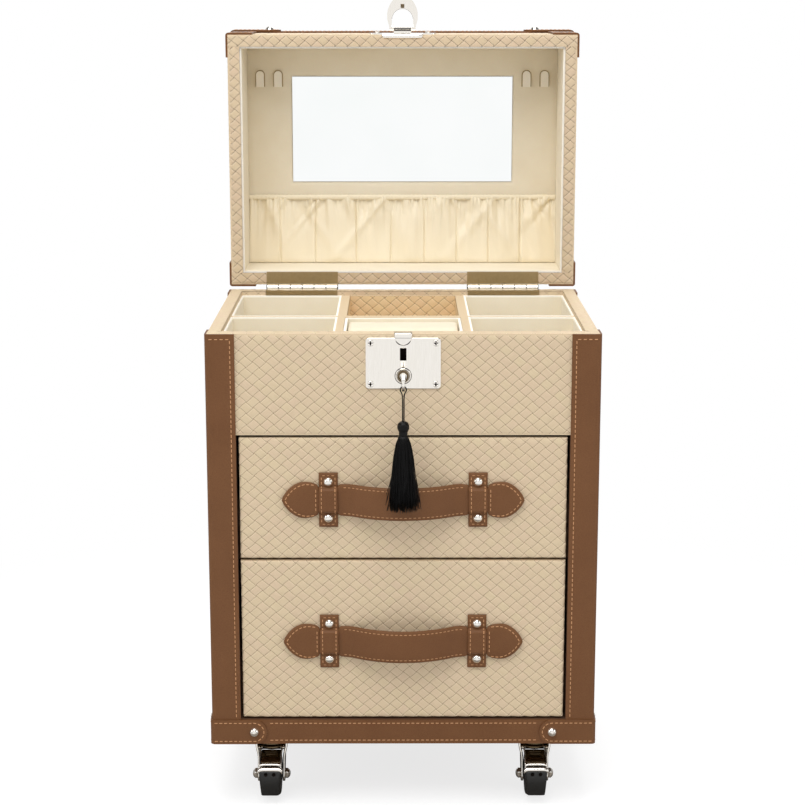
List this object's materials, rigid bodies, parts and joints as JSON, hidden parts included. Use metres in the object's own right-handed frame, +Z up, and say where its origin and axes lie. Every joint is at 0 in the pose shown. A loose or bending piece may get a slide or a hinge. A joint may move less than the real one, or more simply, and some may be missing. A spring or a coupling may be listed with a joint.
{
  "type": "jewelry chest",
  "caption": "Rolling jewellery trunk with a hinged mirrored lid, a divided lined tray, drawers with leather handles, a hasp lock with key and tassel, and swivel casters.",
  "frame": {"origin": "middle of the bounding box on the floor, with the lid open as at rest; the cord and tassel are left out", "axes": "+Z up, -Y towards the front with the drawers, +X to the viewer's right"},
  "size_m": [0.3906, 0.415, 0.8025],
  "materials": {
    "board": "covered fibreboard",
    "weave": "embossed basket-weave leather",
    "brown": "satin",
    "suede": "suede cloth",
    "satin": "gathered satin",
    "padding": "padded suede cloth",
    "chrome": "polished",
    "steel": "zinc plated",
    "mirror": "silvered glass",
    "black_cord": "twisted thread",
    "black_wheel": "moulded",
    "pedal": "moulded cap on a plated lever"
  },
  "bodies": {
    "case": {"side_panels": "board", "back_panel": "board", "base_board": "board", "shelves": "board", "fascia_board": "board", "drawer_guides": "board", "woven_covers": "weave", "corner_straps": "brown", "base_band": "brown", "base_corner_patches": "brown", "base_rivets": "chrome", "tray_partitions": "weave", "tray_liners": "suede", "ring_tray": "suede", "ring_rolls": "padding", "lock_plate": "chrome", "lock_case": "steel", "case_screws": "steel", "hinge_body_leaves": "steel", "caster_plates": "steel"},
    "lid": {"lid_walls": "board", "lid_top_board": "board", "lid_woven_cover": "weave", "lid_corner_straps": "brown", "lid_band": "brown", "lid_corner_patches": "brown", "lid_rivets": "chrome", "lid_lining": "suede", "lid_padded_panel": "suede", "mirror": "mirror", "pocket": "satin", "necklace_pegs": "suede", "hinge_lid_leaves": "steel", "hinge_pins": "steel", "hasp_plate": "chrome"},
    "hasp": {"hasp": "chrome"},
    "lock_plug": {"lock_plug": "chrome"},
    "key": {"key": "chrome"},
    "tassel": {"tassel_cord": "black_cord", "tassel": "black_cord"},
    "upper_drawer": {"upper_drawer_front": "weave", "upper_drawer_box": "suede", "upper_strap": "brown", "upper_keepers": "brown", "upper_handle_rivets": "chrome"},
    "lower_drawer": {"lower_drawer_front": "weave", "lower_drawer_box": "suede", "lower_strap": "brown", "lower_keepers": "brown", "lower_handle_rivets": "chrome"},
    "swivel_front_left": {"fork_front_left": "steel"},
    "wheel_front_left": {"wheel_front_left": "black_wheel"},
    "swivel_front_right": {"fork_front_right": "steel"},
    "wheel_front_right": {"wheel_front_right": "black_wheel"},
    "swivel_rear_left": {"fork_rear_left": "steel"},
    "wheel_rear_left": {"wheel_rear_left": "black_wheel"},
    "swivel_rear_right": {"fork_rear_right": "steel"},
    "wheel_rear_right": {"wheel_rear_right": "black_wheel"},
    "pedal_front_left": {"pedal_front_left": "pedal"},
    "pedal_front_right": {"pedal_front_right": "pedal"}
  },
  "joints": [
    {"name": "lid_hinge", "type": "hinge", "parent": "case", "child": "lid", "pos_m": [0, 0.106, 0.4855], "axis": [1, 0, 0], "range_deg": [0, 90]},
    {"name": "hasp_hinge", "type": "hinge", "parent": "lid", "child": "hasp", "pos_m": [0, 0.1124, 0.7665], "axis": [1, 0, 0], "range_deg": [0, 90]},
    {"name": "lock_plug_turn", "type": "hinge", "parent": "case", "child": "lock_plug", "pos_m": [0, -0.1705, 0.4436], "axis": [0, 1, 0], "range_deg": [0, 90]},
    {"name": "key_pull", "type": "slide", "parent": "lock_plug", "child": "key", "axis": [0, -1, 0], "range_m": [0, 0.014]},
    {"name": "tassel_hang", "type": "hinge", "parent": "key", "child": "tassel", "pos_m": [0, -0.1985, 0.43635], "axis": [0, 1, 0], "range_deg": [-90, 0]},
    {"name": "upper_drawer_slide", "type": "slide", "parent": "case", "child": "upper_drawer", "axis": [0, -1, 0], "range_m": [0, 0.17], "deforming": ["tassel", "tassel_cord"]},
    {"name": "lower_drawer_slide", "type": "slide", "parent": "case", "child": "lower_drawer", "axis": [0, -1, 0], "range_m": [0, 0.17]},
    {"name": "swivel_front_left_turn", "type": "hinge", "parent": "case", "child": "swivel_front_left", "pos_m": [-0.134, -0.1155, 0.062], "axis": [0, 0, 1], "continuous": true},
    {"name": "wheel_front_left_roll", "type": "hinge", "parent": "swivel_front_left", "child": "wheel_front_left", "pos_m": [-0.134, -0.1315, 0.022], "axis": [1, 0, 0], "continuous": true},
    {"name": "swivel_front_right_turn", "type": "hinge", "parent": "case", "child": "swivel_front_right", "pos_m": [0.134, -0.1155, 0.062], "axis": [0, 0, 1], "continuous": true},
    {"name": "wheel_front_right_roll", "type": "hinge", "parent": "swivel_front_right", "child": "wheel_front_right", "pos_m": [0.134, -0.1315, 0.022], "axis": [1, 0, 0], "continuous": true},
    {"name": "swivel_rear_left_turn", "type": "hinge", "parent": "case", "child": "swivel_rear_left", "pos_m": [-0.134, 0.0505, 0.062], "axis": [0, 0, 1], "continuous": true},
    {"name": "wheel_rear_left_roll", "type": "hinge", "parent": "swivel_rear_left", "child": "wheel_rear_left", "pos_m": [-0.134, 0.0665, 0.022], "axis": [1, 0, 0], "continuous": true},
    {"name": "swivel_rear_right_turn", "type": "hinge", "parent": "case", "child": "swivel_rear_right", "pos_m": [0.134, 0.0505, 0.062], "axis": [0, 0, 1], "continuous": true},
    {"name": "wheel_rear_right_roll", "type": "hinge", "parent": "swivel_rear_right", "child": "wheel_rear_right", "pos_m": [0.134, 0.0665, 0.022], "axis": [1, 0, 0], "continuous": true},
    {"name": "pedal_front_left_lift", "type": "hinge", "parent": "swivel_front_left", "child": "pedal_front_left", "pos_m": [-0.134, -0.12477, 0.04711], "axis": [1, 0, 0], "range_deg": [-14, 0]},
    {"name": "pedal_front_right_lift", "type": "hinge", "parent": "swivel_front_right", "child": "pedal_front_right", "pos_m": [0.134, -0.12477, 0.04711], "axis": [1, 0, 0], "range_deg": [-14, 0]}
  ],
  "couplings": [
    {"joint": "tassel_hang", "follows": "lock_plug_turn", "ratio": -1}
  ]
}
